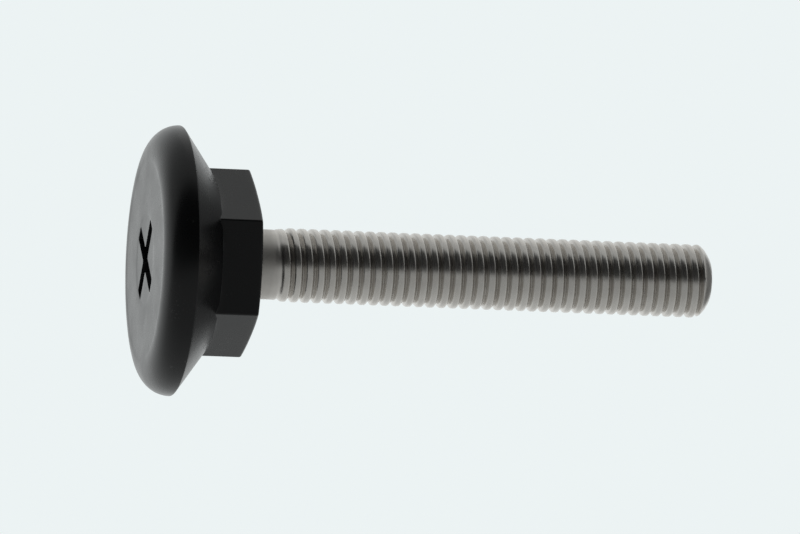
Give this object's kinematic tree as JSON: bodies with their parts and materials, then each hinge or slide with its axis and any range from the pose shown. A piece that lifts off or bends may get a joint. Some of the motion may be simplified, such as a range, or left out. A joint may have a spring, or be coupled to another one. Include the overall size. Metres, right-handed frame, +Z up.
{
  "type": "leveling foot",
  "caption": "Furniture leveling foot: black moulded round base with a hex for a spanner and a cross recess underneath, on a threaded steel stud.",
  "frame": {"origin": "centre of the base's bottom face", "axes": "+Z up the stud from the base to the tip; two corners of the hex lie on the X axis"},
  "size_m": [0.029, 0.029, 0.0619],
  "materials": {
    "black_plastic": "satin moulded, fine texture",
    "stainless_steel": "rolled thread, dull bright"
  },
  "bodies": {
    "root": {"base": "black_plastic", "threaded_stud": "stainless_steel"}
  },
  "joints": []
}
